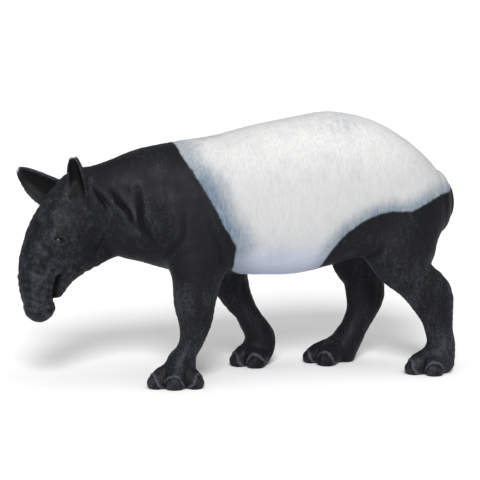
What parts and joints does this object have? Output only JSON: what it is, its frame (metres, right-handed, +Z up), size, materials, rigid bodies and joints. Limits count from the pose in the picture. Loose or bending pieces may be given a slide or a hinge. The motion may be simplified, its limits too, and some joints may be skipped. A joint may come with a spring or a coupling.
{
  "type": "toy tapir figure",
  "caption": "Moulded toy figure of a Malayan tapir, walking with its head lowered, with a white saddle between black fore and hind quarters.",
  "frame": {"origin": "centre of the figure's bounding box, on the floor that its soles stand on", "axes": "+Z up, the figure faces -X, its left side faces -Y"},
  "size_m": [0.133, 0.0388, 0.0774],
  "materials": {
    "black_paint": "matte black paint over moulded vinyl, dry-brushed grey on the raised skin",
    "white_paint": "matte white paint with a blue-grey wash along the paint edges and in the fur strokes",
    "eye_gloss": "glossy black paint"
  },
  "bodies": {
    "root": {"head": "black_paint", "proboscis": "black_paint", "ear_left": "black_paint", "ear_right": "black_paint", "eye_left": "eye_gloss", "eye_right": "eye_gloss", "neck": "black_paint", "shoulders": "black_paint", "saddle": "white_paint", "haunch_left": "black_paint", "haunch_right": "black_paint", "tail": "black_paint", "fore_leg_left": "black_paint", "fore_leg_right": "black_paint", "hind_leg_left": "black_paint", "hind_leg_right": "black_paint", "fore_foot_left": "black_paint", "fore_foot_right": "black_paint", "hind_foot_left": "black_paint", "hind_foot_right": "black_paint"}
  },
  "joints": []
}
